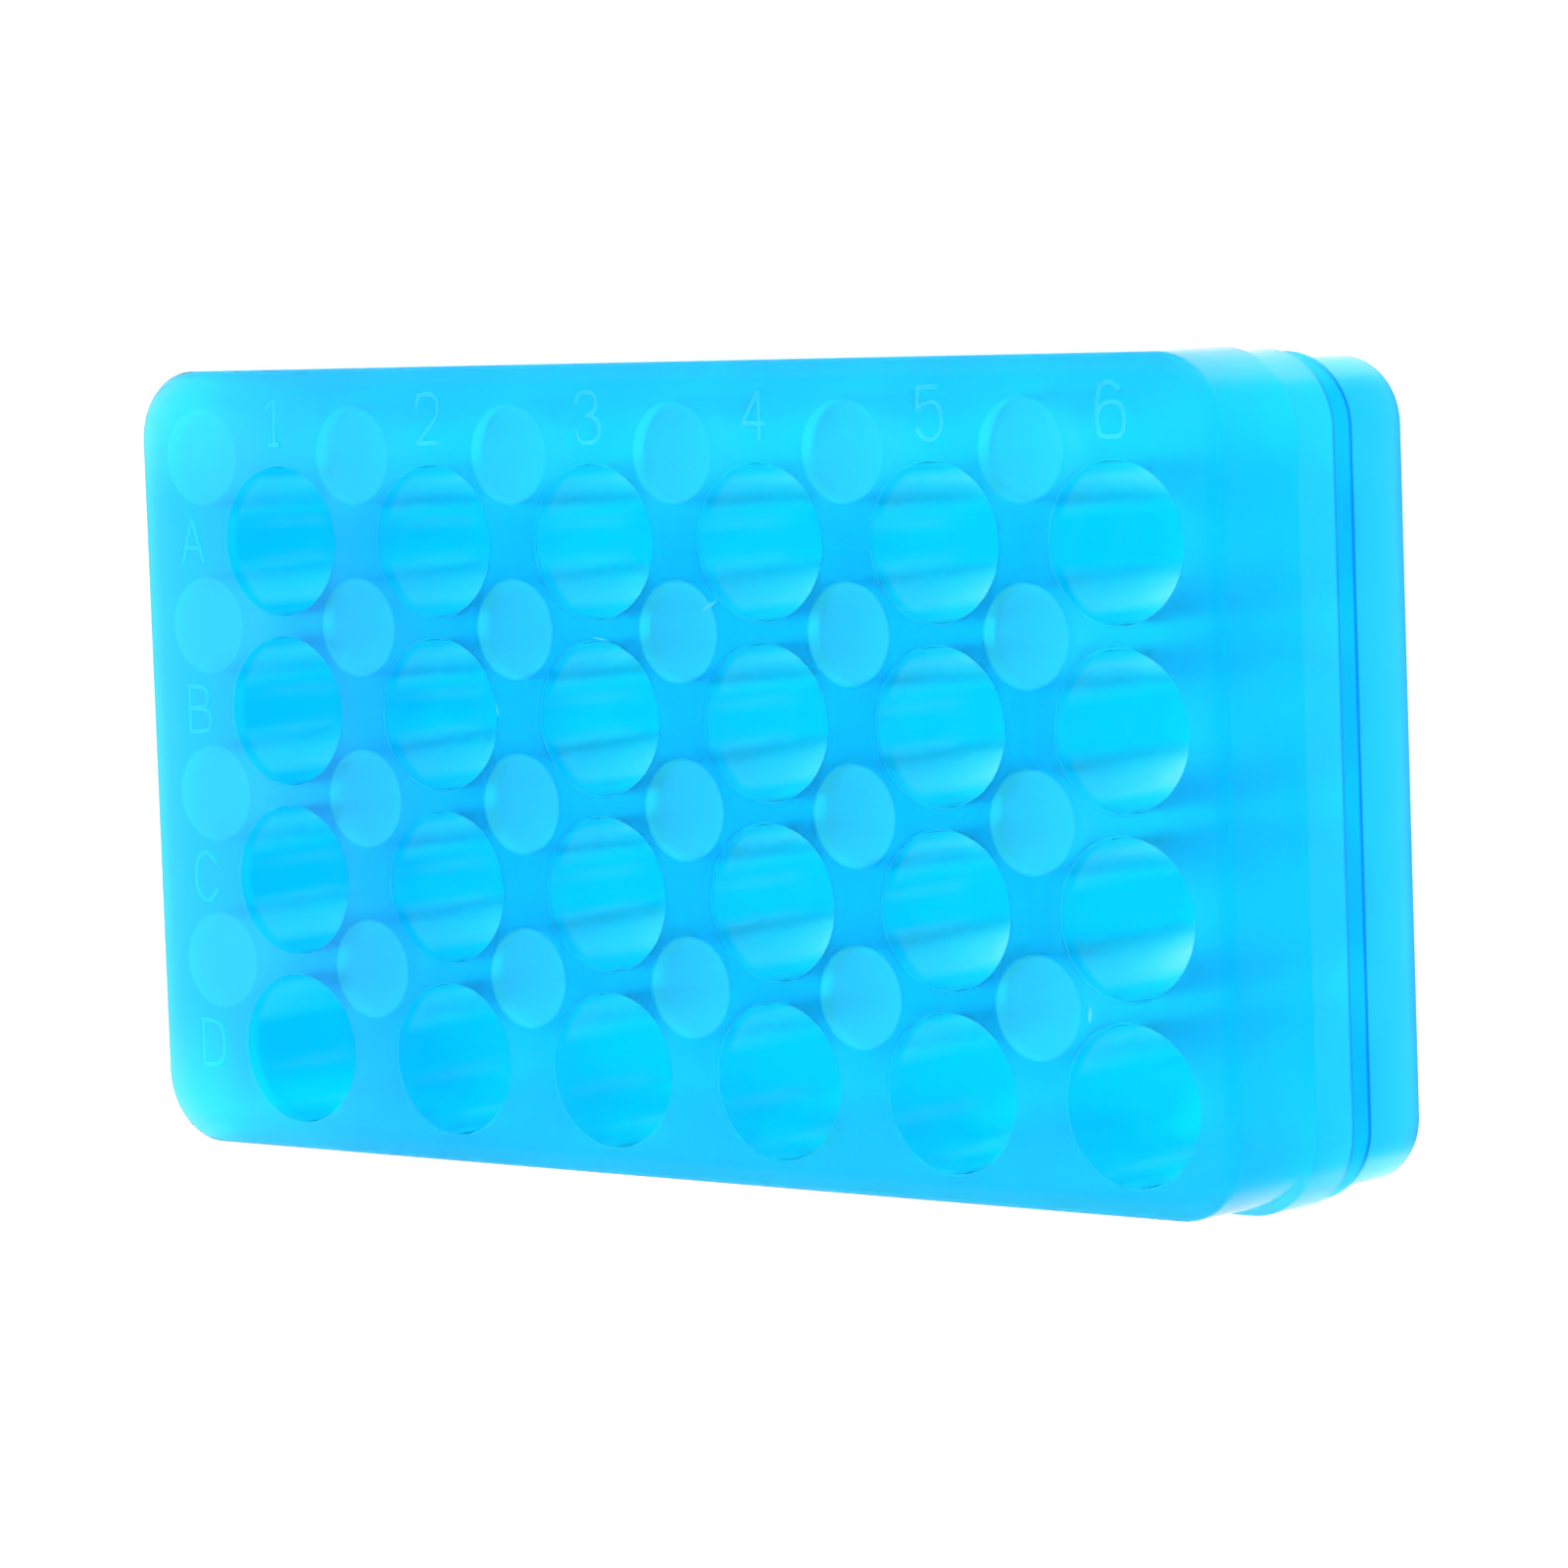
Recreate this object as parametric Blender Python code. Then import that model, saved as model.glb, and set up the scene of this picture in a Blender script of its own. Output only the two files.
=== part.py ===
"""Centrifuge tube rack, moulded in one piece of translucent polypropylene.

The rack has two faces that are both used. Large wells for 1.5 ml and 2 ml tubes open on the
upper face, and small wells for 0.5 ml tubes open on the underside. The small grid stands half a
pitch behind and to the left of the large one, so each well runs down between four wells of the
other face, and the closed end of each well shows on the far face as a thin round wall.

Outside, the mould parts along the middle of the rack. Above that line a proud rim leads up over
a sloping shoulder to the upper band, and below it a narrower ledge carries the lower band. All
walls have draft away from the parting line, and so has each well away from its closed end.

The rack stands on its underside at Z = 0 and is centred on X and Y. Columns 1 to 6 run along
+X, and row A lies at +Y. All sizes are in metres.
"""
import math

import bmesh
import bpy
from mathutils import Matrix, Vector

# Grid
COLUMNS = 6
ROWS = 4

# Large wells, which open on the upper face
LARGE_MOUTH_DIAMETER = 0.0110
LARGE_END_DIAMETER = 0.0106
LARGE_FLOOR = 0.0012

# Small wells, which open on the underside
SMALL_MOUTH_DIAMETER = 0.0078
SMALL_END_DIAMETER = 0.0072
SMALL_FLOOR = 0.0009

# Edges of the wells
MOUTH_CHAMFER = 0.00015
END_FILLET = 0.0008

# Walls between the wells, and from the outermost wells to the edge of the upper face
COLUMN_WEB = 0.0015
CROSS_WEB = 0.00073
LEFT_WALL = 0.0023
RIGHT_WALL = 0.0033
BACK_WALL = 0.00245
FRONT_WALL = 0.0020

# Bands of the outer wall, from the underside up
LOWER_BAND_HEIGHT = 0.0067
LEDGE_HEIGHT = 0.00245
RIM_HEIGHT = 0.00425
SHOULDER_HEIGHT = 0.0006
UPPER_BAND_HEIGHT = 0.00775

# Steps between the bands, and the draft of each band over its height
RIM_PROUD = 0.00015
LEDGE_STEP = 0.0002
LOWER_STEP = 0.00045
BAND_DRAFT = 0.00005

# Outer edges
CORNER_RADIUS = 0.0052
FACE_EDGE_ROUND = 0.0004
RIM_EDGE_ROUND = 0.0001

# Facets of the round shapes
CORNER_SEGMENTS = 8
EDGE_SEGMENTS = 2
LARGE_SEGMENTS = 28
SMALL_SEGMENTS = 20

# A cutter reaches this far past the face that it opens
CUTTER_REACH = 0.002

PARTING_HEIGHT = LOWER_BAND_HEIGHT + LEDGE_HEIGHT
SHOULDER_FOOT = PARTING_HEIGHT + RIM_HEIGHT
SHOULDER_TOP = SHOULDER_FOOT + SHOULDER_HEIGHT
HEIGHT = SHOULDER_TOP + UPPER_BAND_HEIGHT

# The web between wells of opposite faces is measured halfway down, and both taper along it
LARGE_MEAN_DIAMETER = 0.5 * (LARGE_MOUTH_DIAMETER + LARGE_END_DIAMETER)
SMALL_MEAN_DIAMETER = 0.5 * (SMALL_MOUTH_DIAMETER + SMALL_END_DIAMETER)
CROSS_DISTANCE = CROSS_WEB + 0.5 * (LARGE_MEAN_DIAMETER + SMALL_MEAN_DIAMETER)
ROW_PITCH = LARGE_MOUTH_DIAMETER + COLUMN_WEB
COLUMN_PITCH = 2.0 * math.sqrt(CROSS_DISTANCE**2 - (0.5 * ROW_PITCH) ** 2)

# From the edge of the upper face to the centres of the outermost wells
LEFT_MARGIN = LEFT_WALL + 0.5 * SMALL_MOUTH_DIAMETER
RIGHT_MARGIN = RIGHT_WALL + 0.5 * LARGE_MOUTH_DIAMETER
BACK_MARGIN = BACK_WALL + 0.5 * SMALL_MOUTH_DIAMETER
FRONT_MARGIN = FRONT_WALL + 0.5 * LARGE_MOUTH_DIAMETER

FACE_LENGTH = LEFT_MARGIN + (COLUMNS - 0.5) * COLUMN_PITCH + RIGHT_MARGIN
FACE_WIDTH = BACK_MARGIN + (ROWS - 0.5) * ROW_PITCH + FRONT_MARGIN


def clear_scene():
    for old in list(bpy.data.objects):
        bpy.data.objects.remove(old, do_unlink=True)


def translucent_blue():
    """Cyan polypropylene with the low sheen of a plain moulding."""
    material = bpy.data.materials.new("cyan_polypropylene")
    material.use_nodes = True
    shader = material.node_tree.nodes["Principled BSDF"]
    shader.inputs["Base Color"].default_value = (0.02, 0.61, 0.97, 1.0)
    shader.inputs["Roughness"].default_value = 0.3
    shader.inputs["Metallic"].default_value = 0.0
    return material


def small_well_centres():
    """Centres of the small wells, row A first, column by column."""
    left = -0.5 * FACE_LENGTH + LEFT_MARGIN
    back = 0.5 * FACE_WIDTH - BACK_MARGIN
    return [
        Vector((left + column * COLUMN_PITCH, back - row * ROW_PITCH, 0.0))
        for row in range(ROWS)
        for column in range(COLUMNS)
    ]


def large_well_centres():
    """Each large well lies half a pitch to the right of and in front of its small well."""
    shift = Vector((0.5 * COLUMN_PITCH, -0.5 * ROW_PITCH, 0.0))
    return [centre + shift for centre in small_well_centres()]


def outline_points(outset):
    """The rounded rectangle of the upper face, grown by outset all round."""
    radius = CORNER_RADIUS + outset
    half_length = 0.5 * FACE_LENGTH - CORNER_RADIUS
    half_width = 0.5 * FACE_WIDTH - CORNER_RADIUS
    points = []
    for quarter, (side_x, side_y) in enumerate(((1, 1), (-1, 1), (-1, -1), (1, -1))):
        for step in range(CORNER_SEGMENTS + 1):
            angle = 0.5 * math.pi * (quarter + step / CORNER_SEGMENTS)
            x = side_x * half_length + radius * math.cos(angle)
            y = side_y * half_width + radius * math.sin(angle)
            points.append((x, y))
    return points


def edge_arc(height, outset, radius, start, segments):
    """A quarter round in the section, about a centre, starting at start quarter turns."""
    arc = []
    for step in range(segments + 1):
        angle = 0.5 * math.pi * (start + step / segments)
        arc.append((height + radius * math.sin(angle), outset + radius * math.cos(angle)))
    return arc


def wall_section():
    """Height and outset of each point of the outer wall's section, from the underside up."""
    upper_foot = BAND_DRAFT
    rim_top = upper_foot + RIM_PROUD
    rim_foot = rim_top + BAND_DRAFT
    ledge_top = rim_foot - LEDGE_STEP
    ledge_foot = ledge_top - BAND_DRAFT
    lower_top = ledge_foot - LOWER_STEP
    lower_foot = lower_top - BAND_DRAFT
    face = FACE_EDGE_ROUND
    rim = RIM_EDGE_ROUND
    return [
        *edge_arc(face, lower_foot - face, face, -1, EDGE_SEGMENTS),
        (LOWER_BAND_HEIGHT, lower_top),
        *edge_arc(LOWER_BAND_HEIGHT + rim, ledge_foot - rim, rim, -1, 1),
        (PARTING_HEIGHT, ledge_top),
        *edge_arc(PARTING_HEIGHT + rim, rim_foot - rim, rim, -1, 1),
        (SHOULDER_FOOT, rim_top),
        (SHOULDER_TOP, upper_foot),
        *edge_arc(HEIGHT - face, -face, face, 0, EDGE_SEGMENTS),
    ]


def add_ring(shape, height, outset):
    """The corners of one closed ring around the rack."""
    return [shape.verts.new((x, y, height)) for x, y in outline_points(outset)]


def solid_block():
    """The moulding's outside: a wall through the rings of its section, closed at both faces."""
    shape = bmesh.new()
    rings = [add_ring(shape, height, outset) for height, outset in wall_section()]
    for lower, upper in zip(rings, rings[1:]):
        for i in range(len(lower)):
            shape.faces.new((lower[i - 1], lower[i], upper[i], upper[i - 1]))
    shape.faces.new(reversed(rings[0]))
    shape.faces.new(rings[-1])
    mesh = bpy.data.meshes.new("tube_rack")
    shape.to_mesh(mesh)
    shape.free()
    return new_object("tube_rack", mesh)


def new_object(name, mesh):
    made = bpy.data.objects.new(name, mesh)
    bpy.context.scene.collection.objects.link(made)
    return made


def face_at(faces, pick):
    """The face whose middle is lowest with min, or highest with max."""
    return pick(faces, key=lambda face: face.calc_center_median().z)


def add_well(shape, placement, mouth_radius, end_radius, depth, segments):
    """The space of one well, with its mouth at Z = 0 and its closed end below, then placed."""
    wall_depth = depth - MOUTH_CHAMFER
    cone = bmesh.ops.create_cone(
        shape,
        cap_ends=True,
        cap_tris=False,
        segments=segments,
        radius1=end_radius,
        radius2=mouth_radius,
        depth=wall_depth,
        matrix=Matrix.Translation((0.0, 0.0, -MOUTH_CHAMFER - 0.5 * wall_depth)),
    )
    faces = list({face for vertex in cone["verts"] for face in vertex.link_faces})
    fillet = bmesh.ops.bevel(
        shape,
        geom=list(face_at(faces, min).edges),
        offset=END_FILLET,
        offset_type="OFFSET",
        affect="EDGES",
        segments=1,
        profile=0.5,
        material=-1,
    )
    faces = {face for face in faces if face.is_valid} | set(fillet["faces"])
    mouth = face_at(faces, max)
    flare = 1.0 + MOUTH_CHAMFER / mouth_radius
    corners = {vertex for face in faces for vertex in face.verts}
    for rise, growth in ((MOUTH_CHAMFER, flare), (CUTTER_REACH, 1.0)):
        grown = bmesh.ops.extrude_face_region(shape, geom=[mouth])["geom"]
        ring = [part for part in grown if isinstance(part, bmesh.types.BMVert)]
        bmesh.ops.delete(shape, geom=[mouth], context="FACES_ONLY")
        mouth = next(part for part in grown if isinstance(part, bmesh.types.BMFace))
        bmesh.ops.scale(shape, verts=ring, vec=(growth, growth, 1.0))
        bmesh.ops.translate(shape, verts=ring, vec=(0.0, 0.0, rise))
        corners.update(ring)
    bmesh.ops.transform(shape, matrix=placement, verts=list(corners))


def well_cutter(name, placements, mouth_diameter, end_diameter, floor, segments):
    """All wells of one face, as one shape to be cut away."""
    shape = bmesh.new()
    for placement in placements:
        add_well(
            shape, placement, 0.5 * mouth_diameter, 0.5 * end_diameter, HEIGHT - floor, segments
        )
    bmesh.ops.recalc_face_normals(shape, faces=shape.faces)
    mesh = bpy.data.meshes.new(name)
    shape.to_mesh(mesh)
    shape.free()
    cutter = new_object(name, mesh)
    cutter.hide_render = True
    cutter.display_type = "WIRE"
    return cutter


def large_wells():
    """Wells that open upward."""
    top = Vector((0.0, 0.0, HEIGHT))
    placements = [Matrix.Translation(centre + top) for centre in large_well_centres()]
    return well_cutter(
        "large_wells",
        placements,
        LARGE_MOUTH_DIAMETER,
        LARGE_END_DIAMETER,
        LARGE_FLOOR,
        LARGE_SEGMENTS,
    )


def small_wells():
    """Wells that open downward."""
    flip = Matrix.Rotation(math.pi, 4, "X")
    placements = [Matrix.Translation(centre) @ flip for centre in small_well_centres()]
    return well_cutter(
        "small_wells",
        placements,
        SMALL_MOUTH_DIAMETER,
        SMALL_END_DIAMETER,
        SMALL_FLOOR,
        SMALL_SEGMENTS,
    )


def cut_away(body, cutters):
    """Cuts the wells, keeps the result as the body's own mesh and shades its round walls."""
    for cutter in cutters:
        cut = body.modifiers.new(cutter.name, "BOOLEAN")
        cut.operation = "DIFFERENCE"
        cut.solver = "EXACT"
        cut.object = cutter
    seen = body.evaluated_get(bpy.context.evaluated_depsgraph_get())
    mesh = bpy.data.meshes.new_from_object(seen)
    body.modifiers.clear()
    body.data = mesh
    mesh.name = body.name
    mesh.shade_smooth()
    mesh.set_sharp_from_angle(angle=math.radians(30.0))
    for cutter in cutters:
        bpy.data.objects.remove(cutter, do_unlink=True)


def tube_rack():
    body = solid_block()
    body.data.materials.append(translucent_blue())
    cut_away(body, [large_wells(), small_wells()])
    return body


clear_scene()
tube_rack()
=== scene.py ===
import math

import bmesh
import bpy
from mathutils import Matrix, Vector


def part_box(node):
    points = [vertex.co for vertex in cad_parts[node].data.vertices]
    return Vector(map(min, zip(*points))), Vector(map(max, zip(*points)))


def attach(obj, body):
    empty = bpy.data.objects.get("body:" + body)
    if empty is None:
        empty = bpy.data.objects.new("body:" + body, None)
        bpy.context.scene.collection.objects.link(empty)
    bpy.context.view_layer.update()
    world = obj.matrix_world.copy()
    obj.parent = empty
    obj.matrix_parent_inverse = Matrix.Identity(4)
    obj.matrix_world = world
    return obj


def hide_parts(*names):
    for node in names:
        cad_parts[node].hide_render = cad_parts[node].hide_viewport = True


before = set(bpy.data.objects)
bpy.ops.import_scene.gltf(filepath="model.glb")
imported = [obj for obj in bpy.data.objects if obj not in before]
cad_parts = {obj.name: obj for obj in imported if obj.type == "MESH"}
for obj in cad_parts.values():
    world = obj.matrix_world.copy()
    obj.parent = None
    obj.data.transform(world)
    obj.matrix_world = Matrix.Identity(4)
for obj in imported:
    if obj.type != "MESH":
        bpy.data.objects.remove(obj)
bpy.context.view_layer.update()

# The rack is one moulding of translucent cyan polypropylene. This script makes its fine surface:
# the same bands, wells and floors as the solid's, with round walls, soft edges and raised index
# marks, and gives it the plastic's look. Sizes are in metres.

NODE = "tube_rack"

# Grid
COLUMNS = 6
ROWS = 4
COLUMN_PITCH = 0.01530384
ROW_PITCH = 0.0125

# Centre of the first small well, from the left and back edges of the upper face
SMALL_LEFT = 0.0062
SMALL_BACK = 0.00635

# Wells: radius at the mouth and at the closed end, and the wall left beyond that end
LARGE_MOUTH = 0.0055
LARGE_END = 0.0053
LARGE_FLOOR = 0.0012
SMALL_MOUTH = 0.0039
SMALL_END = 0.0036
SMALL_FLOOR = 0.0009
MOUTH_ROUND = 0.00015
END_FILLET = 0.0008

# Bands of the outer wall, from the underside up, and the steps between them
LOWER_BAND = 0.0067
LEDGE = 0.00245
RIM = 0.00425
SHOULDER = 0.0006
RIM_PROUD = 0.00015
LEDGE_STEP = 0.0002
LOWER_STEP = 0.00045
BAND_DRAFT = 0.00005
CORNER_RADIUS = 0.0052
FACE_ROUND = 0.0004
RIM_ROUND = 0.0001
STEP_FILLET = 0.0002
LEDGE_STEP_HEIGHT = 0.00004

# The lower part of the outer wall, up to just below the upper band, stands further to the front
FRONT_OFFSET = 0.0005
OFFSET_BELOW = 0.0001

# Index marks: strokes of round section, part sunk into the upper face
MARK_HEIGHT = 0.0034
MARK_WIDTH = 0.0022
STROKE_RADIUS = 0.00020
STROKE_RISE = 0.00002
LETTER_LEFT = 0.0089
DIGIT_BACK = 0.0088

# Facets, and the distances within which doubled corners are merged
CORNER_SEGMENTS = 20
ROUND_SEGMENTS = 4
LARGE_SEGMENTS = 96
SMALL_SEGMENTS = 72
STROKE_ORDER = 3
STROKE_STEPS = 5
STROKE_ROUNDNESS = 3
SHARP_ANGLE = 35.0
BLOCK_MERGE = 1e-7
WELL_MERGE = 5e-8
STROKE_MERGE = 1e-6

# A well's shape starts outside the face that it is cut from: how far out, how much its first ring
# is drawn in, and how far below the face its mouth begins
REACH = 0.002
FIRST_DRAW_IN = 1e-7
FACE_OVERLAP = 0.00001

# Plastic: tints, from the plain plastic to its bands, walls and marks. Past the plain plastic, the outer
# wall, the upper face, the specks and the specular tint, they are painted light and painted shade,
# and the scuff white also serves painted glints.
PLASTIC_TINT = (0.06, 0.79, 1.0, 1.0)
PLASTIC_TINT_PALE = (0.12, 0.83, 1.0, 1.0)
# Painted shade: the inner walls nearest column 1 are darker
FIRST_END_PAINTED_SHADE = (0.03, 0.56, 1.0, 1.0)
OUTER_TINT = (0.04, 0.72, 1.0, 1.0)
# Painted shade on the lower band and the ledge, and a painted highlight on the rim
LOWER_BAND_PAINTED_SHADE = (0.06, 0.49, 1.0, 1.0)
RIM_PAINTED_HIGHLIGHT = (0.1, 0.73, 1.0, 1.0)
LEDGE_PAINTED_SHADE = (0.03, 0.49, 1.0, 1.0)
FACE_TINT = (0.05, 0.72, 1.0, 1.0)
# Painted shade: the middle of the upper face is darker
MIDDLE_PAINTED_SHADE = (0.0, 0.57, 1.0, 1.0)
# Painted light: the upper face and the outer wall above the rim are paler along the long edges
LONG_EDGE_PAINTED_LIGHT = (0.15, 0.83, 1.0, 1.0)
# Painted highlight: the turned walls at the corners are paler
TURNED_WALL_PAINTED_HIGHLIGHT = (0.3, 0.88, 1.0, 1.0)
# Painted light: the webs beside the small wells and the discs over them are paler
WEB_PAINTED_LIGHT = (0.6, 0.92, 1.0, 1.0)
DISC_PAINTED_LIGHT = (0.25, 1.0, 1.0, 1.0)
# Painted light: the upper face is paler towards column 1
PALE_END_PAINTED_LIGHT = (0.8, 0.82, 1.0, 1.0)
# Painted highlight: the ridges of the index marks are paler
MARK_PAINTED_HIGHLIGHT = (0.4, 0.95, 1.0, 1.0)
# White for a scratch and for painted glints at the wells' mouths
SCUFF_AND_GLINT_TINT = (1.0, 1.0, 1.0, 1.0)
SPECK_TINT = (0.0, 0.25, 0.45, 1.0)
SPECULAR_TINT = (0.0, 0.55, 1.0, 1.0)

# Plastic: its gloss by place, its frosting, and the colour that it takes on with depth
FACE_GLOSS = 0.3
FLAT_GLOSS = 0.08
BAND_GLOSS_GAIN = 3.0
LEDGE_GLOSS = 0.1
GLOSS_ROUGH = 0.06
GLOSS_IOR = 1.3
PLASTIC_CLEARNESS = 0.97
PLASTIC_IOR = 1.15
PLASTIC_ROUGH = 0.62
ROUGH_SPREAD = 0.05
OUTER_ROUGH_GAIN = 1.45
FACE_ROUGH_GAIN = 1.2
DEPTH_COLOUR = (0.0, 0.975, 1.0, 1.0)
DEPTH_DENSITY = 600.0

# Plastic: unevenness of the moulding
SKIN_SCALE = 120.0
SKIN_DETAIL = 1.0
CLOUD_SPAN = (0.3, 0.6)
SHEEN_SPAN = (0.4, 0.7)

# Where the tints begin and end: depths below the upper face and rises above it, distances from a
# small well's wall, in from the outer wall or to both sides of a band's edge, and reaches along
# the rack from the end nearest column 1. The turn and round spans are shares of the corner radius.
FACE_DEPTHS = (0.0003, 0.0001)
DISC_DEPTHS = (0.0005, 0.0003)
WALL_DEPTHS = (0.0015, 0.0007)
MARK_RISES = (0.00002, 0.00012)
DISC_EDGE = (-0.0002, 0.0001)
WEB_EDGE = (0.0006, 0.0016)
OUTER_EDGE = (0.0017, 0.0013)
BAND_EDGE = 0.00003
RIM_EDGE = 0.0001
TURN_SPAN = (0.25, 0.85)
ROUND_SPAN = 0.25
LONG_WALL_TURN = 0.75
LONG_EDGE_SPAN = (0.011, 0.002)
MIDDLE_INSET = (0.017, 0.0135)
MIDDLE_FADE = 0.006
FIRST_END_REACH = 0.02
PALE_END_REACH = 0.035
PALE_END_SHARE = 0.45

# Light all round, the dark patch in it, and the floor
OVERHEAD_LIGHT = 3.1
OVERHEAD_FROM = 0.8
HORIZON_LIGHT = 1.7
SHADE_DIRECTION = (-0.64, -0.08, 0.765)
SHADE_SPAN = (0.8, 0.95)
SHADE_LIGHT = 0.15
FLOOR_GLOW = 1.2
FLOOR_SIDE = 6.0
FLOOR_DROP = 0.00005
WHITE = (1.0, 1.0, 1.0, 1.0)

# Camera, from the photograph: place in row pitches from large well A1, and its axes
CAMERA_PLACE = (26.787, 1.615, 27.628)
CAMERA_RIGHT = (0.76997, -0.03511, -0.63711)
CAMERA_UP = (-0.02521, 0.99603, -0.08535)
CAMERA_BACK = (0.63758, 0.08178, 0.76603)
SENSOR_MM = 36.0
LENS_MM = 149.94

low, high = (Vector(corner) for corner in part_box(NODE))
HEIGHT = high.z
PARTING = LOWER_BAND + LEDGE
UPPER_BAND = HEIGHT - PARTING - RIM - SHOULDER
RIM_OUTSET = RIM_PROUD + 2.0 * BAND_DRAFT
FACE_LEFT = low.x + RIM_OUTSET
FACE_BACK = high.y - RIM_OUTSET
SMALL_FIRST = Vector((FACE_LEFT + SMALL_LEFT, FACE_BACK - SMALL_BACK, 0.0))
LARGE_FIRST = SMALL_FIRST + Vector((0.5 * COLUMN_PITCH, -0.5 * ROW_PITCH, 0.0))

# Index marks, stroke by stroke, in half widths and half heights about each mark's centre. A
# stroke of two points is straight, and the others are smooth curves held by their points.
MARKS = {
    "A": [[(-1, -1), (0, 1)], [(0, 1), (1, -1)], [(-0.62, -0.3), (0.62, -0.3)]],
    "B": [
        [(-0.9, -1), (-0.9, 1)],
        [(-0.9, 1), (0.3, 1), (0.8, 0.8), (0.8, 0.25), (0.3, 0.05), (-0.9, 0.05)],
        [(-0.9, 0.05), (0.4, 0.05), (1, -0.2), (1, -0.8), (0.4, -1), (-0.9, -1)],
    ],
    "C": [
        [(1, 0.5), (0.6, 0.95), (-0.2, 1.1), (-1, 0.6), (-1, -0.6), (-0.2, -1.1), (0.6, -0.95), (1, -0.5)],
    ],
    "D": [
        [(-0.9, -1), (-0.9, 1)],
        [(-0.9, 1), (0.3, 1), (1, 0.6), (1, -0.6), (0.3, -1), (-0.9, -1)],
    ],
    "1": [[(0, -1), (0, 1)], [(-0.6, 0.6), (0, 1)], [(-0.5, -1), (0.5, -1)]],
    "2": [
        [(-0.9, 0.45), (-0.9, 1), (0, 1.08), (0.9, 1), (1, 0.2), (0.2, -0.3), (-0.9, -1)],
        [(-0.9, -1), (1, -1)],
    ],
    "3": [
        [(-0.9, 0.55), (-0.8, 1), (0.1, 1.05), (0.8, 0.9), (0.8, 0.2), (0, 0.08)],
        [(0, 0.08), (1, 0), (1, -0.9), (0.1, -1.1), (-0.8, -1), (-0.95, -0.5)],
    ],
    "4": [[(0.4, -1), (0.4, 1)], [(0.4, 1), (-0.95, -0.35)], [(-0.95, -0.35), (0.95, -0.35)]],
    "5": [
        [(0.8, 1), (-0.75, 1)],
        [(-0.75, 1), (-0.85, 0.12)],
        [(-0.85, 0.12), (-0.2, 0.4), (0.9, 0.4), (1.1, -0.6), (0.5, -1.05), (-0.5, -1.1), (-0.95, -0.6)],
    ],
    "6": [
        [(0.75, 0.75), (0.3, 1.1), (-0.7, 1.05), (-1, 0.4), (-1, -0.9), (-0.3, -1.1), (0.3, -1.0)],
        [(-0.98, -0.35), (-0.8, 0.2), (0.2, 0.35), (1, 0.15), (1, -0.85), (0.5, -1.05), (0.1, -1.04)],
    ],
}
MOST_STROKES = max(len(strokes) for strokes in MARKS.values())

# Scuffs, painted glints and specks on the upper face and the wells' mouths: place, turn in degrees,
# half length and half width. The scuffs are a white scratch and painted glints at the wells' mouths.
# A mark reaches this deep, and fades between these shares of its size.
WEAR_AND_GLINT_DEPTH = 0.0006
WEAR_AND_GLINT_FADE = (0.6, 1.1)
SCUFFS_AND_GLINTS = [
    ((0.00545, 0.01177, HEIGHT), 27.0, 0.0008, 0.00014),
    ((0.00797, 0.01128, HEIGHT), -20.0, 0.0008, 0.00006),
    ((0.00915, -0.0013, HEIGHT), -28.0, 0.0004, 0.00006),
    ((-0.00467, 0.00937, HEIGHT), -8.0, 0.0008, 0.00005),
    ((-0.01488, 0.0043, HEIGHT), -70.0, 0.00055, 0.00012),
    ((0.0375, -0.01528, HEIGHT), 83.0, 0.0006, 0.00015),
]
SPECKS = [
    ((0.04271, 0.01856, HEIGHT), 0.0, 0.00011, 0.00011),
    ((0.03643, 0.005, HEIGHT), 0.0, 0.00012, 0.00012),
    ((0.04111, -0.02656, HEIGHT), 0.0, 0.00009, 0.00009),
]


def well_centres(first):
    """Places of one grid's wells on the floor plane, row A first."""
    return [
        first + Vector((column * COLUMN_PITCH, -row * ROW_PITCH, 0.0))
        for row in range(ROWS)
        for column in range(COLUMNS)
    ]


# Shapes


def arc(radius, start, end):
    """Steps (inward, up) along a quarter round, from start to end in quarter turns of its slope.

    Slope 0 runs straight up and slope 1 runs straight in.
    """
    steps = []
    for step in range(ROUND_SEGMENTS):
        a = 0.5 * math.pi * (start + (end - start) * step / ROUND_SEGMENTS)
        b = 0.5 * math.pi * (start + (end - start) * (step + 1) / ROUND_SEGMENTS)
        if end > start:
            steps.append((radius * (math.cos(a) - math.cos(b)), radius * (math.sin(b) - math.sin(a))))
        else:
            steps.append((radius * (math.sin(a) - math.sin(b)), radius * (math.cos(b) - math.cos(a))))
    return steps


def raise_face(shape, face, steps):
    """Walks a flat face along its normal, drawing it in at each step, and leaves a wall behind."""
    for inward, up in steps:
        bmesh.ops.inset_region(
            shape,
            faces=[face],
            use_boundary=True,
            use_even_offset=True,
            thickness=inward,
            depth=up,
        )


def turned_copy(shape, face):
    """A second face in the same place that looks the other way."""
    made = bmesh.ops.duplicate(shape, geom=[face])["geom"]
    copy = next(part for part in made if isinstance(part, bmesh.types.BMFace))
    bmesh.ops.reverse_faces(shape, faces=[copy])
    return copy


def object_from(shape, name):
    """A finished object at the origin, with its place in its mesh."""
    mesh = bpy.data.meshes.new(name)
    shape.to_mesh(mesh)
    shape.free()
    made = bpy.data.objects.new(name, mesh)
    bpy.context.scene.collection.objects.link(made)
    return made


def flat_square(shape, side, height):
    """The corners of one square face that lies level at a height, centred on the origin."""
    corners = bmesh.ops.create_grid(shape, x_segments=1, y_segments=1, size=0.5 * side)["verts"]
    bmesh.ops.translate(shape, verts=corners, vec=(0.0, 0.0, height))
    return corners


def finished_mesh(made):
    """An object's mesh with its curve's thickness or its modifiers worked in."""
    seen = made.evaluated_get(bpy.context.evaluated_depsgraph_get())
    return bpy.data.meshes.new_from_object(seen)


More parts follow.
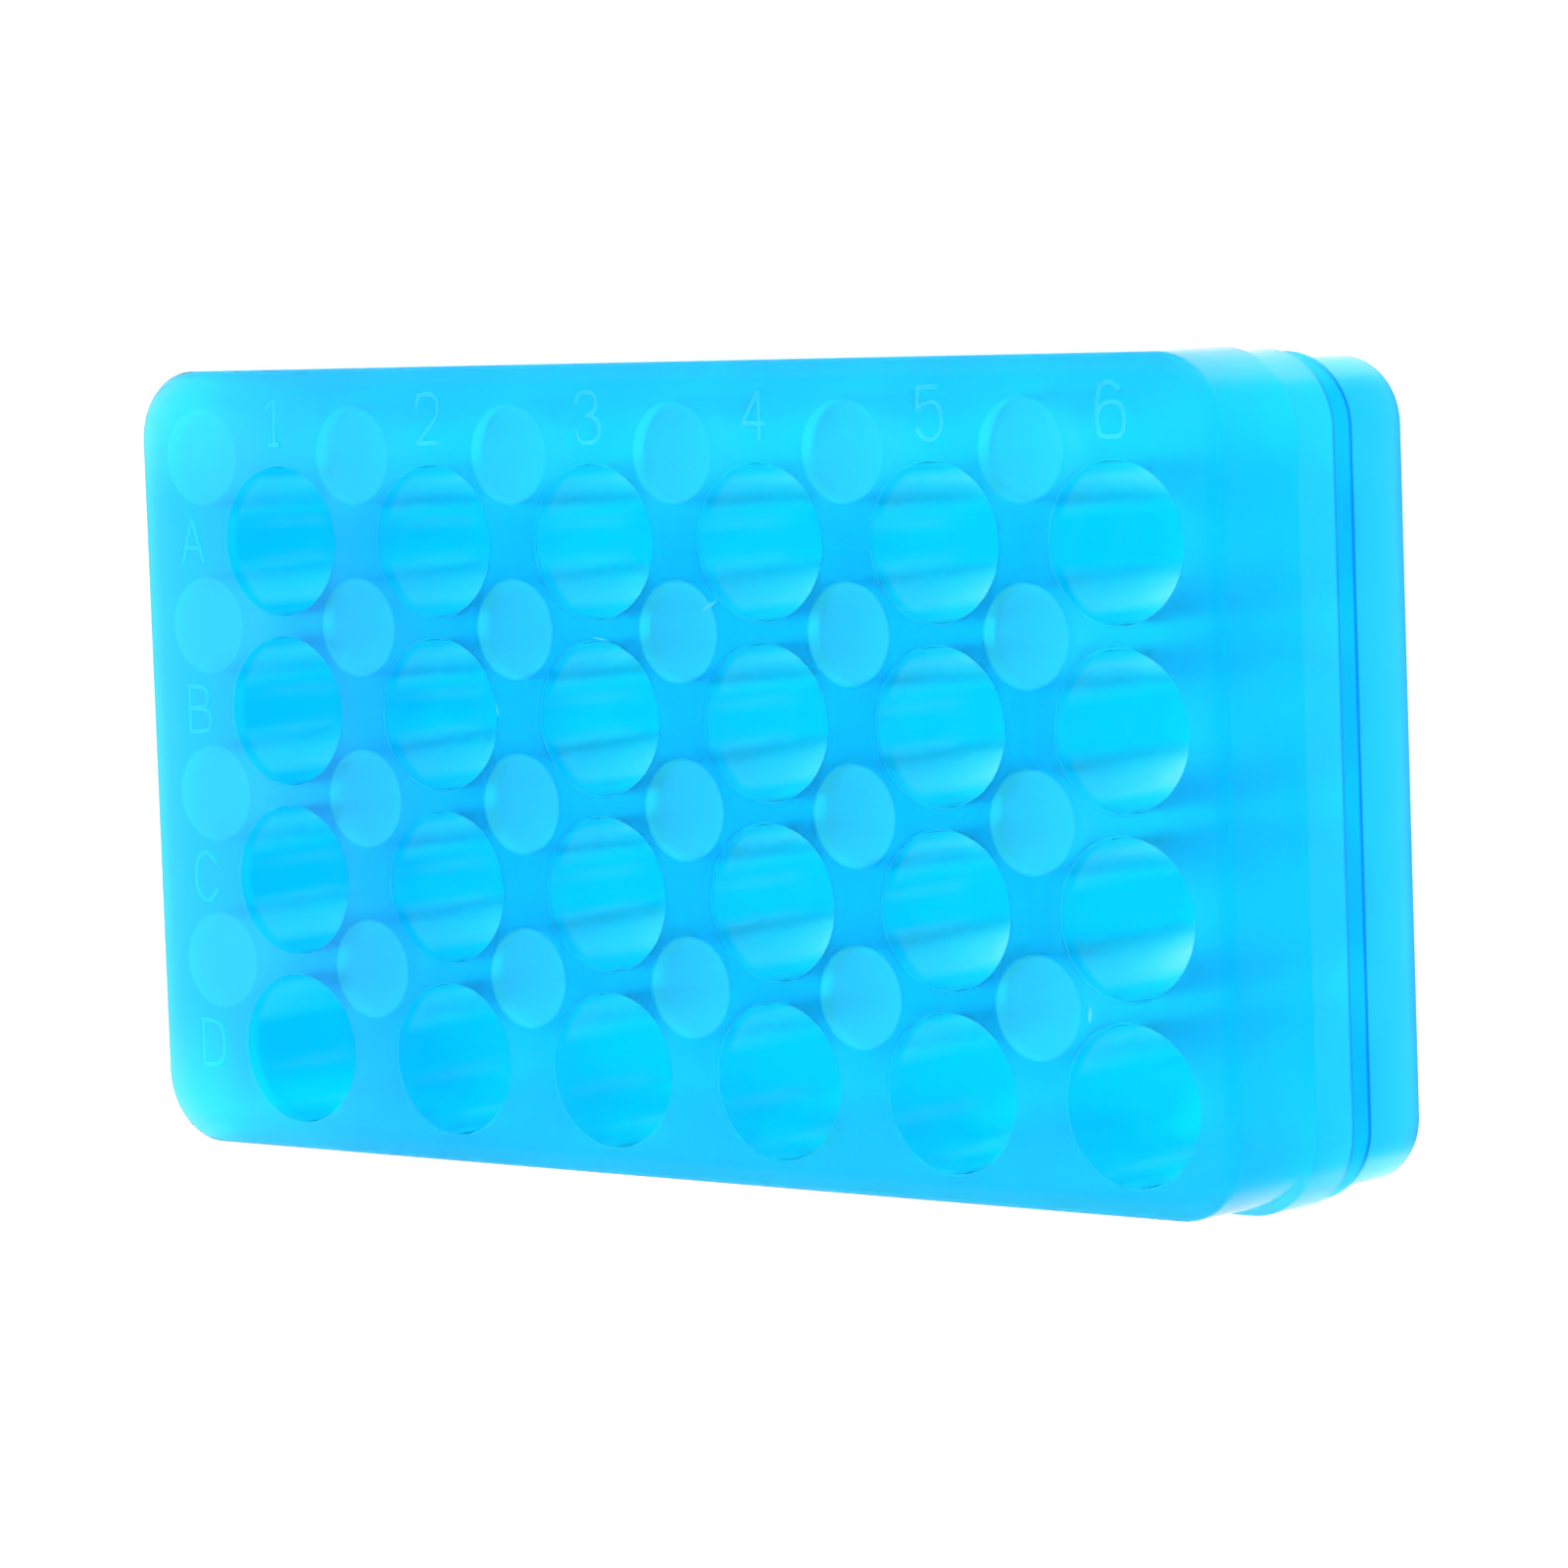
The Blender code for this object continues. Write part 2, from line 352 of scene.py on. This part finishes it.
def block():
    """The outside of the moulding, raised up and down from the ring at its parting line."""
    shape = bmesh.new()
    corners = flat_square(shape, 1.0, PARTING)
    size = high - low
    bmesh.ops.scale(shape, verts=corners, vec=(size.x, size.y, 1.0))
    bmesh.ops.bevel(
        shape,
        geom=corners,
        affect="VERTICES",
        offset=CORNER_RADIUS + RIM_OUTSET,
        offset_type="OFFSET",
        segments=CORNER_SEGMENTS,
        profile=0.5,
        material=-1,
    )
    upper = shape.faces[:][0]
    lower = turned_copy(shape, upper)
    raise_face(shape, upper, [
        (BAND_DRAFT, RIM),
        (RIM_PROUD, SHOULDER),
        (BAND_DRAFT, UPPER_BAND - FACE_ROUND),
        *arc(FACE_ROUND, 0, 1),
    ])
    raise_face(shape, lower, [
        (LEDGE_STEP, LEDGE_STEP_HEIGHT),
        (BAND_DRAFT, LEDGE - RIM_ROUND - LEDGE_STEP_HEIGHT),
        *arc(RIM_ROUND, 0, 1),
        (LOWER_STEP - RIM_ROUND - STEP_FILLET, 0.0),
        *arc(STEP_FILLET, 1, 0),
        (BAND_DRAFT, LOWER_BAND - STEP_FILLET - FACE_ROUND),
        *arc(FACE_ROUND, 0, 1),
    ])
    bmesh.ops.remove_doubles(shape, verts=shape.verts, dist=BLOCK_MERGE)
    top = HEIGHT - UPPER_BAND - OFFSET_BELOW
    below = [corner for corner in shape.verts if corner.co.z < top]
    bmesh.ops.translate(shape, verts=below, vec=(0.0, -FRONT_OFFSET, 0.0))
    return object_from(shape, "moulded_rack")


def wells(name, first, mouth, end, floor, segments, opens_up):
    """The spaces of one face's wells: round mouths, walls with draft and filleted closed ends."""
    shape = bmesh.new()
    cap = bmesh.ops.create_circle(
        shape, cap_ends=True, cap_tris=False, segments=segments, radius=mouth + MOUTH_ROUND
    )["verts"]
    bmesh.ops.translate(shape, verts=cap, vec=(0.0, 0.0, -REACH))
    inner = shape.faces[:][0]
    inner.normal_update()
    if inner.normal.z < 0.0:
        bmesh.ops.reverse_faces(shape, faces=[inner])
    turned_copy(shape, inner)
    raise_face(shape, inner, [
        (FIRST_DRAW_IN, REACH - FACE_OVERLAP),
        *arc(MOUTH_ROUND, 1, 0),
        (mouth - end, HEIGHT - floor - MOUTH_ROUND + FACE_OVERLAP - END_FILLET),
        *arc(END_FILLET, 0, 1),
    ])
    bmesh.ops.remove_doubles(shape, verts=shape.verts, dist=WELL_MERGE)
    if opens_up:
        over = Matrix.Translation((0.0, 0.0, HEIGHT)) @ Matrix.Rotation(math.pi, 4, "X")
        bmesh.ops.transform(shape, matrix=over, verts=shape.verts)
    first_corners = shape.verts[:]
    first_well = first_corners + shape.edges[:] + shape.faces[:]
    places = well_centres(first)
    for place in places[1:]:
        copy = bmesh.ops.duplicate(shape, geom=first_well)["geom"]
        corners = [part for part in copy if isinstance(part, bmesh.types.BMVert)]
        bmesh.ops.translate(shape, verts=corners, vec=place)
    bmesh.ops.translate(shape, verts=first_corners, vec=places[0])
    return object_from(shape, name)


def add_stroke(curve, stroke, centre):
    """One stroke of a letter or digit, as a spline on the upper face."""
    spline = curve.splines.new("NURBS")
    spline.points.add(len(stroke) - 1)
    for point, (across, along) in zip(spline.points, stroke):
        point.co = (
            centre.x + 0.5 * MARK_WIDTH * across,
            centre.y + 0.5 * MARK_HEIGHT * along,
            HEIGHT + STROKE_RISE,
            1.0,
        )
    spline.order_u = min(STROKE_ORDER, len(stroke))
    spline.use_endpoint_u = True
    spline.resolution_u = STROKE_STEPS


def mark_strokes(turn):
    """The first, second or third stroke of every index mark, as round ridges.

    Letters A to D run down the left side, and digits 1 to 6 along the back. The strokes of one
    mark cross each other, so they are added to the rack in turn.
    """
    curve = bpy.data.curves.new("mark_strokes", "CURVE")
    curve.dimensions = "3D"
    curve.bevel_depth = STROKE_RADIUS
    curve.bevel_resolution = STROKE_ROUNDNESS
    curve.use_fill_caps = True
    places = [(text, (-LETTER_LEFT, -row * ROW_PITCH, 0.0)) for row, text in enumerate("ABCD")]
    places += [(text, (column * COLUMN_PITCH, DIGIT_BACK, 0.0)) for column, text in enumerate("123456")]
    for text, place in places:
        for stroke in MARKS[text][turn:turn + 1]:
            add_stroke(curve, stroke, LARGE_FIRST + Vector(place))
    drawn = bpy.data.objects.new("drawn_strokes", curve)
    bpy.context.scene.collection.objects.link(drawn)
    mesh = finished_mesh(drawn)
    bpy.data.objects.remove(drawn, do_unlink=True)
    shape = bmesh.new()
    shape.from_mesh(mesh)
    bmesh.ops.remove_doubles(shape, verts=shape.verts, dist=STROKE_MERGE)
    bmesh.ops.recalc_face_normals(shape, faces=shape.faces)
    return object_from(shape, f"mark_strokes_{turn + 1}")


def join_shapes(body, changes):
    """Cuts or adds each shape in turn, then smooths the shading of round walls alone."""
    for other, operation in changes:
        change = body.modifiers.new(other.name, "BOOLEAN")
        change.operation = operation
        change.solver = "MANIFOLD"
        change.object = other
    mesh = finished_mesh(body)
    body.modifiers.clear()
    body.data = mesh
    mesh.name = body.name
    for other, operation in changes:
        bpy.data.objects.remove(other, do_unlink=True)
    mesh.shade_smooth()
    mesh.set_sharp_from_angle(angle=math.radians(SHARP_ANGLE))
    weighted = body.modifiers.new("flat_faces_stay_flat", "WEIGHTED_NORMAL")
    weighted.keep_sharp = True


def moulded_rack():
    """The whole rack: the block, its wells cut out and its index marks added."""
    body = block()
    large = wells(
        "large_wells", LARGE_FIRST, LARGE_MOUTH, LARGE_END, LARGE_FLOOR, LARGE_SEGMENTS, opens_up=True
    )
    small = wells(
        "small_wells", SMALL_FIRST, SMALL_MOUTH, SMALL_END, SMALL_FLOOR, SMALL_SEGMENTS, opens_up=False
    )
    changes = [(large, "DIFFERENCE"), (small, "DIFFERENCE")]
    changes += [(mark_strokes(turn), "UNION") for turn in range(MOST_STROKES)]
    join_shapes(body, changes)
    return body


# Finish


def mask_group(name, labels):
    """A shader node group that reads coordinates and puts out masks, by name."""
    group = bpy.data.node_groups.new(name, "ShaderNodeTree")
    group.interface.new_socket("Coordinates", in_out="INPUT", socket_type="NodeSocketVector")
    for label in labels:
        group.interface.new_socket(label, in_out="OUTPUT", socket_type="NodeSocketFloat")
    coordinates = group.nodes.new("NodeGroupInput").outputs["Coordinates"]
    return group, coordinates, group.nodes.new("NodeGroupOutput").inputs


def vector_math(tree, operation, first, second=None):
    """A Vector Math node on a socket, and on a second socket or a plain vector."""
    node = tree.nodes.new("ShaderNodeVectorMath")
    node.operation = operation
    tree.links.new(first, node.inputs[0])
    if isinstance(second, bpy.types.NodeSocket):
        tree.links.new(second, node.inputs[1])
    elif second is not None:
        node.inputs[1].default_value = second
    return node.outputs["Value" if operation in ("LENGTH", "DOT_PRODUCT") else "Vector"]


def level_length(tree, vector):
    """The length of a vector seen from above."""
    return vector_math(tree, "LENGTH", vector_math(tree, "MULTIPLY", vector, (1.0, 1.0, 0.0)))


def axis_values(tree, vector):
    """A vector's X, Y and Z values."""
    node = tree.nodes.new("ShaderNodeSeparateXYZ")
    tree.links.new(vector, node.inputs["Vector"])
    return node.outputs


def mapped(tree, value, from_low, from_high, to_low=0.0, to_high=1.0):
    """A value carried smoothly from one range to another, and held at its ends."""
    node = tree.nodes.new("ShaderNodeMapRange")
    node.interpolation_type = "SMOOTHSTEP"
    tree.links.new(value, node.inputs["Value"])
    node.inputs["From Min"].default_value = from_low
    node.inputs["From Max"].default_value = from_high
    node.inputs["To Min"].default_value = to_low
    node.inputs["To Max"].default_value = to_high
    return node.outputs["Result"]


def faded(tree, value, start, end):
    """1 up to the start of a span, and 0 past its end."""
    return mapped(tree, value, start, end, 1.0, 0.0)


def gain(tree, mask, amount):
    """1 outside a mask, and an amount inside it."""
    return mapped(tree, mask, 0.0, 1.0, 1.0, amount)


def combined(tree, operation, first, *others):
    """Values taken together one after the other, by a Math node each."""
    for other in others:
        node = tree.nodes.new("ShaderNodeMath")
        node.operation = operation
        tree.links.new(first, node.inputs[0])
        tree.links.new(other, node.inputs[1])
        first = node.outputs["Value"]
    return first


def thin_walls_group():
    """Where the wall is thin: the discs over the small wells, and the webs beside them. Both are painted
    paler, as painted light.
    """
    group, coordinates, result = mask_group("thin_walls", ("Disc", "Web"))
    corner = SMALL_FIRST - Vector((0.0, (ROWS - 1) * ROW_PITCH, 0.0))
    last = ((COLUMNS - 1) * COLUMN_PITCH, (ROWS - 1) * ROW_PITCH, 0.0)
    moved = vector_math(group, "SUBTRACT", coordinates, corner)
    lifted = vector_math(group, "ADD", moved, (0.5 * COLUMN_PITCH, 0.5 * ROW_PITCH, 0.0))
    snapped = vector_math(group, "SNAP", lifted, (COLUMN_PITCH, ROW_PITCH, 1.0))
    above = vector_math(group, "MAXIMUM", snapped, (0.0, 0.0, 0.0))
    nearest = vector_math(group, "MINIMUM", above, last)
    distance = level_length(group, vector_math(group, "SUBTRACT", moved, nearest))
    disc = faded(group, distance, SMALL_END + DISC_EDGE[0], SMALL_END + DISC_EDGE[1])
    web = faded(group, distance, SMALL_MOUTH + WEB_EDGE[0], SMALL_MOUTH + WEB_EDGE[1])
    height = axis_values(group, moved)["Z"]
    upper = mapped(group, height, HEIGHT - DISC_DEPTHS[0], HEIGHT - DISC_DEPTHS[1])
    lower = faded(group, height, HEIGHT - WALL_DEPTHS[0], HEIGHT - WALL_DEPTHS[1])
    group.links.new(combined(group, "MULTIPLY", disc, upper), result["Disc"])
    group.links.new(combined(group, "MULTIPLY", web, lower), result["Web"])
    return group


def outer_bands_group():
    """The bands and corners of the outer wall, and the parts of the upper face."""
    group, coordinates, result = mask_group("outer_bands", (
        "Outer", "Rim", "Ledge", "Lower Band", "Flat", "Pale Flat", "Face", "Middle",
        "Long Edge", "Turned Wall", "First End", "Pale End", "Mark",
    ))
    place = axis_values(group, coordinates)
    masks = {}

    # The outer wall lies near or past the corner radius from the corners' inner ring.
    size = vector_math(group, "ABSOLUTE", coordinates)
    ring = (high.x - CORNER_RADIUS, high.y - CORNER_RADIUS, 0.0)
    beyond = vector_math(group, "MAXIMUM", vector_math(group, "SUBTRACT", size, ring), (0.0, 0.0, 0.0))
    reach = level_length(group, beyond)
    outer = mapped(group, reach, CORNER_RADIUS - OUTER_EDGE[0], CORNER_RADIUS - OUTER_EDGE[1])
    masks["Outer"] = outer
    # The lower band and the ledge are painted darker, a painted shade, and the rim paler, a painted
    # highlight.
    for label, foot, top in (
        ("Lower Band", 0.0, LOWER_BAND),
        ("Ledge", LOWER_BAND, PARTING),
        ("Rim", PARTING, PARTING + RIM),
    ):
        above = mapped(group, place["Z"], foot - BAND_EDGE, foot + BAND_EDGE)
        below = faded(group, place["Z"], top - BAND_EDGE, top + BAND_EDGE)
        masks[label] = combined(group, "MULTIPLY", above, below, outer)

    # The corners turn away from the flat stretches of the short ends. The long walls count as
    # turned too, but less. Turned walls are painted paler, a painted highlight.
    past = axis_values(group, beyond)
    turned = mapped(group, past["Y"], TURN_SPAN[0] * CORNER_RADIUS, TURN_SPAN[1] * CORNER_RADIUS)
    rounded = mapped(group, past["X"], 0.0, ROUND_SPAN * CORNER_RADIUS, LONG_WALL_TURN, 1.0)
    turned_wall = combined(group, "MULTIPLY", turned, rounded)
    masks["Turned Wall"] = combined(group, "MULTIPLY", turned_wall, outer)
    masks["Flat"] = combined(group, "MULTIPLY", gain(group, turned_wall, 0.0), outer)
    rim_top = PARTING + RIM
    under_rim = faded(group, place["Z"], rim_top, rim_top + RIM_EDGE)
    off_ledge = gain(group, masks["Ledge"], 0.0)
    masks["Pale Flat"] = combined(group, "MULTIPLY", masks["Flat"], under_rim, off_ledge)

    # The upper face is painted darker in its middle, a painted shade, and paler along its long edges
    # and at column 1, painted light.
    face = mapped(group, place["Z"], HEIGHT - FACE_DEPTHS[0], HEIGHT - FACE_DEPTHS[1])
    masks["Face"] = face
    over_rim = mapped(group, place["Z"], rim_top, rim_top + RIM_EDGE)
    seen = combined(group, "MAXIMUM", face, combined(group, "MULTIPLY", outer, over_rim))
    width = axis_values(group, size)["Y"]
    far = mapped(group, width, high.y - LONG_EDGE_SPAN[0], high.y - LONG_EDGE_SPAN[1])
    masks["Long Edge"] = combined(group, "MULTIPLY", far, seen)
    inset = (high.x - MIDDLE_INSET[0], high.y - MIDDLE_INSET[1], 0.0)
    outside = vector_math(group, "MAXIMUM", vector_math(group, "SUBTRACT", size, inset), (0.0, 0.0, 0.0))
    middle = faded(group, level_length(group, outside), 0.0, MIDDLE_FADE)
    masks["Middle"] = combined(group, "MULTIPLY", middle, face)
    pale = mapped(group, place["X"], low.x, low.x + PALE_END_REACH, PALE_END_SHARE, 0.0)
    masks["Pale End"] = combined(group, "MULTIPLY", pale, face)

    # Inside, the walls nearest column 1 are painted darker, a painted shade, and the marks on top paler, a
    # painted highlight.
    end = faded(group, place["X"], low.x, low.x + FIRST_END_REACH)
    under = faded(group, place["Z"], HEIGHT - WALL_DEPTHS[0], HEIGHT - WALL_DEPTHS[1])
    masks["First End"] = combined(group, "MULTIPLY", end, under)
    masks["Mark"] = mapped(group, place["Z"], HEIGHT + MARK_RISES[0], HEIGHT + MARK_RISES[1])
    for label, mask in masks.items():
        group.links.new(mask, result[label])
    return group


def wear_and_glint_group():
    """Scuffs with painted glints, and specks: small ellipses and streaks at their places on the rack."""
    group, coordinates, result = mask_group("wear_and_glints", ("Scuff And Glint", "Speck"))
    for label, marks in (("Scuff And Glint", SCUFFS_AND_GLINTS), ("Speck", SPECKS)):
        spots = []
        for place, turn, half_length, half_width in marks:
            within = group.nodes.new("ShaderNodeMapping")
            within.vector_type = "TEXTURE"
            within.inputs["Location"].default_value = place
            within.inputs["Rotation"].default_value = (0.0, 0.0, math.radians(turn))
            within.inputs["Scale"].default_value = (half_length, half_width, WEAR_AND_GLINT_DEPTH)
            group.links.new(coordinates, within.inputs["Vector"])
            distance = vector_math(group, "LENGTH", within.outputs["Vector"])
            spots.append(faded(group, distance, *WEAR_AND_GLINT_FADE))
        group.links.new(combined(group, "MAXIMUM", *spots), result[label])
    return group


def moulded_skin_group():
    """The moulding's own unevenness: cloudy colour and patchy sheen."""
    group, coordinates, result = mask_group("moulded_skin", ("Cloud", "Sheen"))
    noise = group.nodes.new("ShaderNodeTexNoise")
    noise.inputs["Scale"].default_value = SKIN_SCALE
    noise.inputs["Detail"].default_value = SKIN_DETAIL
    group.links.new(coordinates, noise.inputs["Vector"])
    group.links.new(mapped(group, noise.outputs["Fac"], *CLOUD_SPAN), result["Cloud"])
    group.links.new(mapped(group, noise.outputs["Fac"], *SHEEN_SPAN), result["Sheen"])
    return group


def placed_group(tree, group, coordinates):
    """A group's masks in a material, at the given coordinates."""
    node = tree.nodes.new("ShaderNodeGroup")
    node.node_tree = group
    tree.links.new(coordinates, node.inputs["Coordinates"])
    return node.outputs


def mixed_colour(tree, factor, first, second):
    """A colour Mix node from a socket or a plain colour to a plain colour."""
    node = tree.nodes.new("ShaderNodeMix")
    node.data_type = "RGBA"
    tree.links.new(factor, node.inputs["Factor"])
    if isinstance(first, bpy.types.NodeSocket):
        tree.links.new(first, node.inputs["A"])
    else:
        node.inputs["A"].default_value = first
    node.inputs["B"].default_value = second
    return node.outputs["Result"]


def cyan_polypropylene():
    """Tinted, frosted plastic: light passes through, and thick parts take up its red. Its colour also
    holds painted light and painted shade by place.
    """
    material = bpy.data.materials.new("frosted_cyan_polypropylene")
    material.use_nodes = True
    tree = material.node_tree
    shader = tree.nodes["Principled BSDF"]
    shader.inputs["IOR"].default_value = PLASTIC_IOR
    shader.inputs["Transmission Weight"].default_value = PLASTIC_CLEARNESS
    shader.inputs["Specular Tint"].default_value = SPECULAR_TINT
    shader.inputs["Coat Roughness"].default_value = GLOSS_ROUGH
    shader.inputs["Coat IOR"].default_value = GLOSS_IOR
    place = tree.nodes.new("ShaderNodeTexCoord").outputs["Object"]
    skin = placed_group(tree, moulded_skin_group(), place)
    thin = placed_group(tree, thin_walls_group(), place)
    bands = placed_group(tree, outer_bands_group(), place)
    wear_and_glints = placed_group(tree, wear_and_glint_group(), place)

    # Each tint covers the ones before it. From the lower band on, all but the face and the specks are
    # painted light and painted shade, and the scuffs hold painted glints.
    colour = mixed_colour(tree, skin["Cloud"], PLASTIC_TINT, PLASTIC_TINT_PALE)
    for mask, tint in (
        (bands["Outer"], OUTER_TINT),
        # Painted shade on the lower band and the ledge, and a painted highlight on the rim
        (bands["Lower Band"], LOWER_BAND_PAINTED_SHADE),
        (bands["Rim"], RIM_PAINTED_HIGHLIGHT),
        (bands["Ledge"], LEDGE_PAINTED_SHADE),
        # Painted shade on the inner walls nearest column 1
        (bands["First End"], FIRST_END_PAINTED_SHADE),
        (bands["Face"], FACE_TINT),
        # Painted shade in the middle of the upper face
        (bands["Middle"], MIDDLE_PAINTED_SHADE),
        # Painted light along the long edges
        (bands["Long Edge"], LONG_EDGE_PAINTED_LIGHT),
        # Painted highlight on the turned walls
        (bands["Turned Wall"], TURNED_WALL_PAINTED_HIGHLIGHT),
        # Painted light where the walls are thin
        (thin["Web"], WEB_PAINTED_LIGHT),
        (thin["Disc"], DISC_PAINTED_LIGHT),
        # Painted light on the upper face towards column 1
        (bands["Pale End"], PALE_END_PAINTED_LIGHT),
        # Painted highlight on the index marks
        (bands["Mark"], MARK_PAINTED_HIGHLIGHT),
        # A white scratch and painted glints
        (wear_and_glints["Scuff And Glint"], SCUFF_AND_GLINT_TINT),
        (wear_and_glints["Speck"], SPECK_TINT),
    ):
        colour = mixed_colour(tree, mask, colour, tint)
    tree.links.new(colour, shader.inputs["Base Color"])

    gloss = [
        gain(tree, bands["Ledge"], LEDGE_GLOSS),
        gain(tree, bands["Flat"], FLAT_GLOSS),
        gain(tree, bands["Face"], FACE_GLOSS),
        gain(tree, bands["Pale Flat"], BAND_GLOSS_GAIN),
        gain(tree, wear_and_glints["Scuff And Glint"], 1.0 / FACE_GLOSS),
    ]
    tree.links.new(combined(tree, "MULTIPLY", *gloss), shader.inputs["Coat Weight"])
    rough = [
        mapped(tree, skin["Sheen"], 0.0, 1.0, PLASTIC_ROUGH - ROUGH_SPREAD, PLASTIC_ROUGH + ROUGH_SPREAD),
        gain(tree, bands["Outer"], OUTER_ROUGH_GAIN),
        gain(tree, bands["Face"], FACE_ROUGH_GAIN),
    ]
    tree.links.new(combined(tree, "MULTIPLY", *rough), shader.inputs["Roughness"])

    depth = tree.nodes.new("ShaderNodeVolumeAbsorption")
    depth.inputs["Color"].default_value = DEPTH_COLOUR
    depth.inputs["Density"].default_value = DEPTH_DENSITY
    tree.links.new(depth.outputs["Volume"], tree.nodes["Material Output"].inputs["Volume"])
    return material


# Surroundings


def white_floor():
    """A white floor that glows softly, so no shadow falls on it."""
    shape = bmesh.new()
    flat_square(shape, FLOOR_SIDE, -FLOOR_DROP)
    floor = object_from(shape, "floor")
    material = bpy.data.materials.new("white_floor")
    material.use_nodes = True
    nodes = material.node_tree.nodes
    nodes.clear()
    glow = nodes.new("ShaderNodeEmission")
    glow.inputs["Color"].default_value = WHITE
    glow.inputs["Strength"].default_value = FLOOR_GLOW
    output = nodes.new("ShaderNodeOutputMaterial")
    material.node_tree.links.new(glow.outputs["Emission"], output.inputs["Surface"])
    material.cycles.emission_sampling = "NONE"
    floor.data.materials.append(material)


def studio():
    """White light from all round, brightest overhead, with a dark patch that the upper face mirrors."""
    world = bpy.data.worlds.new("studio")
    world.use_nodes = True
    world.cycles.sampling_method = "NONE"
    tree = world.node_tree
    background = tree.nodes["Background"]
    background.inputs["Color"].default_value = WHITE
    direction = tree.nodes.new("ShaderNodeTexCoord").outputs["Generated"]
    height = axis_values(tree, direction)["Z"]
    strength = mapped(tree, height, 0.0, OVERHEAD_FROM, HORIZON_LIGHT, OVERHEAD_LIGHT)
    toward = vector_math(tree, "DOT_PRODUCT", direction, SHADE_DIRECTION)
    shade = mapped(tree, toward, SHADE_SPAN[0], SHADE_SPAN[1], 1.0, SHADE_LIGHT)
    tree.links.new(combined(tree, "MULTIPLY", strength, shade), background.inputs["Strength"])
    bpy.context.scene.world = world
    bpy.context.scene.view_settings.view_transform = "Standard"


def camera():
    """The camera of the photograph."""
    data = bpy.data.cameras.new("camera")
    data.sensor_width = SENSOR_MM
    data.lens = LENS_MM
    made = bpy.data.objects.new("camera", data)
    axes = Matrix((CAMERA_RIGHT, CAMERA_UP, CAMERA_BACK)).transposed().to_4x4()
    place = LARGE_FIRST + Vector((0.0, 0.0, HEIGHT)) + ROW_PITCH * Vector(CAMERA_PLACE)
    made.matrix_world = Matrix.Translation(place) @ axes
    bpy.context.scene.collection.objects.link(made)
    bpy.context.scene.camera = made


rack = moulded_rack()
rack.data.materials.clear()
rack.data.materials.append(cyan_polypropylene())
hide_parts(NODE)
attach(rack, "root")
white_floor()
studio()
camera()
